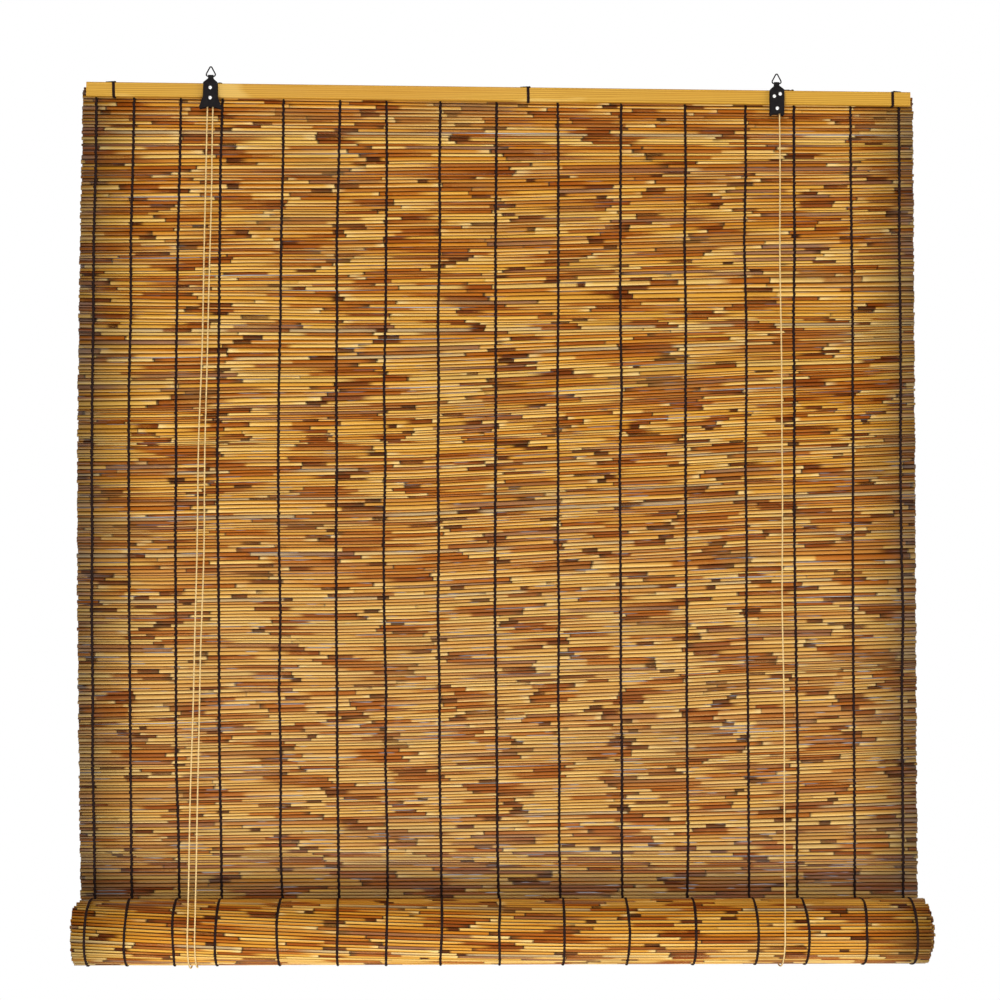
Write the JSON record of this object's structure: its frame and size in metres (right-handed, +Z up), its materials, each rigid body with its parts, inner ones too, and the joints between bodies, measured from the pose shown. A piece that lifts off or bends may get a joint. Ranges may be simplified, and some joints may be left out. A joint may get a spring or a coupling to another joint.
{
  "type": "reed roll-up blind",
  "caption": "Woven reed blind hung from two wire rings, its lower half wound into a roll that a looped cord raises over a small sheave.",
  "frame": {"origin": "on the hanging line, level with the seats at the tops of the two ring openings, over the middle of the mat", "axes": "+X across the blind to the viewer's right, -Y towards the viewer, +Z up along the drop"},
  "size_m": [1.01, 0.0825, 1.0675],
  "materials": {
    "reed": "satin",
    "batten_wood": "satin",
    "twine": "matte",
    "cord": "matte",
    "black_iron": "satin",
    "rivet_steel": "satin"
  },
  "bodies": {
    "rings": {"left_ring": "black_iron", "right_ring": "black_iron"},
    "blind": {"head_batten": "batten_wood", "reed_mat": "reed", "twine_01": "twine", "twine_02": "twine", "twine_03": "twine", "twine_04": "twine", "twine_05": "twine", "twine_06": "twine", "twine_07": "twine", "twine_08": "twine", "twine_09": "twine", "twine_10": "twine", "twine_11": "twine", "twine_12": "twine", "twine_13": "twine", "twine_14": "twine", "twine_15": "twine", "twine_16": "twine", "left_tie": "twine", "middle_tie": "twine", "right_tie": "twine", "left_strap": "black_iron", "left_fixing_rivet": "rivet_steel", "left_spacer": "black_iron", "left_axle_rivet": "rivet_steel", "right_strap": "black_iron", "right_fixing_rivets": "rivet_steel", "right_spacers": "black_iron", "right_thimble_rivet": "rivet_steel", "right_thimble": "black_iron", "left_lift_cord": "cord", "left_back_cord": "cord", "sheave_cord": "cord", "pull_cord": "cord", "cross_cord": "cord", "right_lift_cord": "cord", "right_back_cord": "cord", "right_cord_loop": "cord"},
    "lift_loops": {"left_bight": "cord", "right_bight": "cord", "pull_cord_tail": "cord", "pull_cord_knot": "cord"},
    "roll": {"reed_roll": "reed", "roll_twines": "twine", "foot_batten": "batten_wood"},
    "sheave": {"left_sheave": "black_iron"}
  },
  "joints": [
    {"name": "blind_swing", "type": "hinge", "parent": "rings", "child": "blind", "pos_m": [0, 0, -0.0106], "axis": [1, 0, 0], "range_deg": [-70, 70]},
    {"name": "roll_lift", "type": "slide", "parent": "blind", "child": "lift_loops", "axis": [0, 0, 1], "range_m": [0, 0.88], "deforming": ["reed_mat", "twine_01", "twine_02", "twine_03", "twine_04", "twine_05", "twine_06", "twine_07", "twine_08", "twine_09", "twine_10", "twine_11", "twine_12", "twine_13", "twine_14", "twine_15", "twine_16", "left_lift_cord", "pull_cord", "right_lift_cord", "left_back_cord", "right_back_cord"]},
    {"name": "roll_turn", "type": "hinge", "parent": "lift_loops", "child": "roll", "pos_m": [0, -0.02395, -1.0232], "axis": [1, 0, 0], "continuous": true},
    {"name": "sheave_turn", "type": "hinge", "parent": "blind", "child": "sheave", "pos_m": [-0.347, -0.00215, -0.0373], "axis": [0, 1, 0], "continuous": true}
  ],
  "couplings": [
    {"joint": "roll_turn", "follows": "roll_lift", "rad_per_m": -27.78},
    {"joint": "sheave_turn", "follows": "roll_lift", "rad_per_m": 1250}
  ]
}
